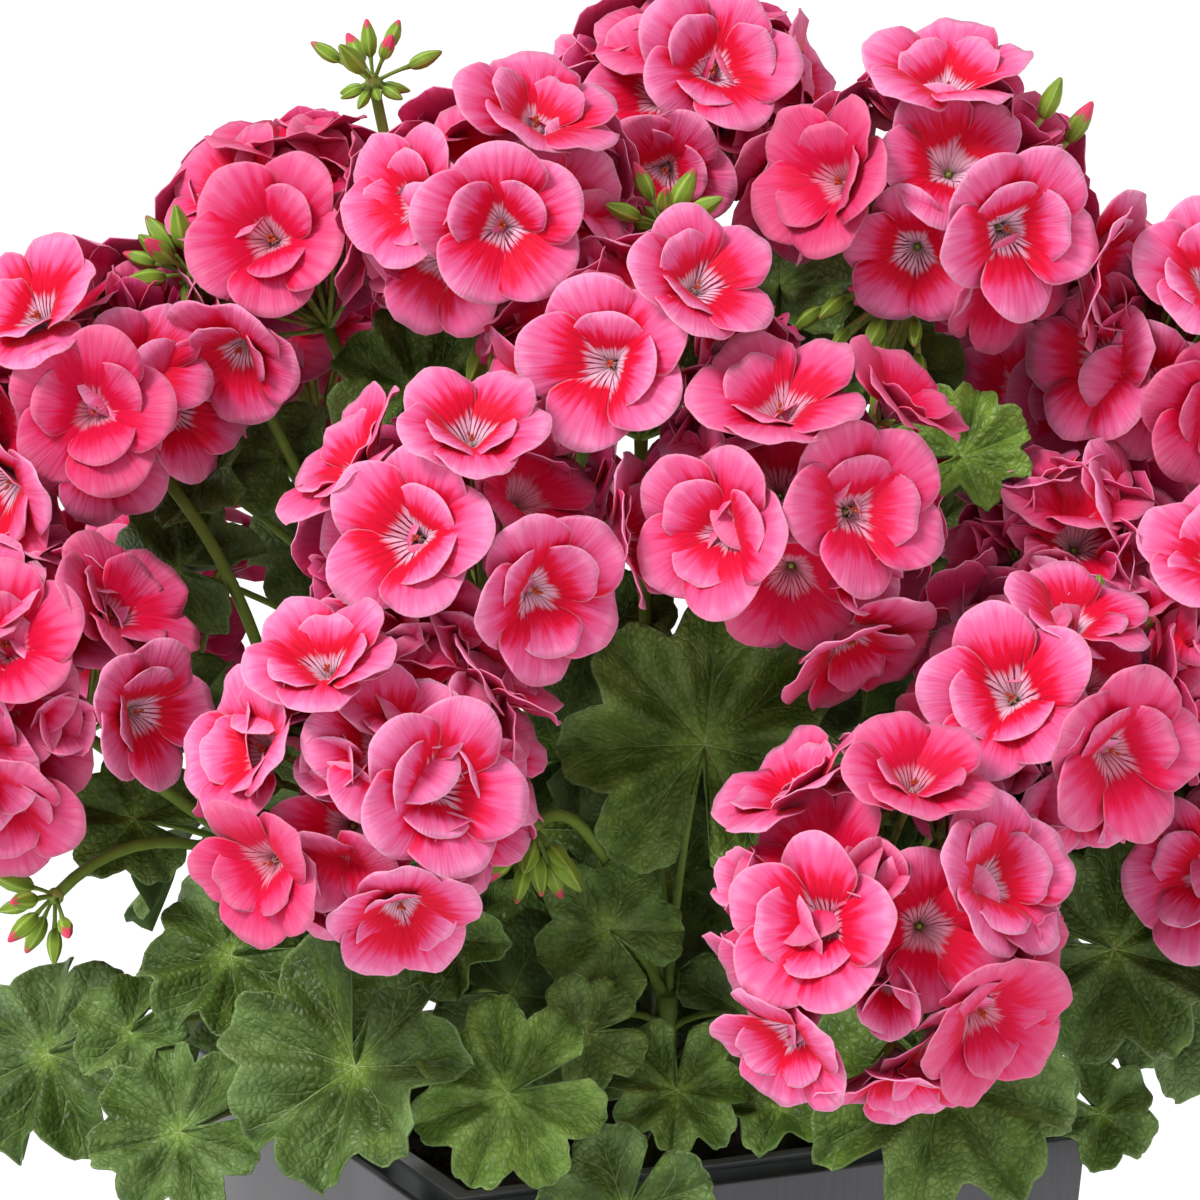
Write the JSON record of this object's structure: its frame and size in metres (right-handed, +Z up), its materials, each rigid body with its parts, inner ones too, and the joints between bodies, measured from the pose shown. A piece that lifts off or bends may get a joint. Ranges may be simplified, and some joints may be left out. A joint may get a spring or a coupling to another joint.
{
  "type": "potted geranium",
  "caption": "Bushy geranium with round heads of pink, red-eyed florets and scalloped leaves, growing in a dark rounded-square plastic planter with a grey liner pot.",
  "frame": {"origin": "centre of the planter's underside, on the surface that it stands on", "axes": "+Z up; X and Y square to the planter's sides; the picture's view looks along +Y turned 24 degrees, from -X towards +X"},
  "size_m": [0.4529, 0.4181, 0.5113],
  "materials": {
    "petals": "matte velvety petals, pink with a red eye and paler edges",
    "foliage": "softly haired mid-green leaves with paler veins, light green stalks and buds",
    "soil": "moist dark peat and bark potting mix",
    "planter": "satin anthracite plastic with a fine upright grain",
    "liner": "plain light grey satin plastic"
  },
  "bodies": {
    "root": {"planter": "planter", "liner": "liner", "soil": "soil", "leafy_stem_01": "foliage", "leafy_stem_02": "foliage", "leafy_stem_03": "foliage", "leafy_stem_04": "foliage", "leafy_stem_05": "foliage", "leafy_stem_06": "foliage", "leafy_stem_07": "foliage", "leafy_stem_08": "foliage", "leafy_stem_09": "foliage", "leafy_stem_10": "foliage", "leafy_stem_11": "foliage", "leafy_stem_12": "foliage", "flower_head_01": "petals", "flower_head_02": "petals", "flower_head_03": "petals", "flower_head_04": "petals", "flower_head_05": "petals", "flower_head_06": "petals", "flower_head_07": "petals", "flower_head_08": "petals", "flower_head_09": "petals", "flower_head_10": "petals", "flower_head_11": "petals", "flower_head_12": "petals", "flower_head_13": "petals", "flower_head_14": "petals", "flower_head_15": "petals", "flower_head_16": "petals", "flower_head_17": "petals", "flower_head_18": "petals", "flower_head_19": "petals", "flower_head_20": "petals", "flower_head_21": "petals", "flower_head_22": "petals", "flower_head_23": "petals", "flower_head_24": "petals"}
  },
  "joints": []
}
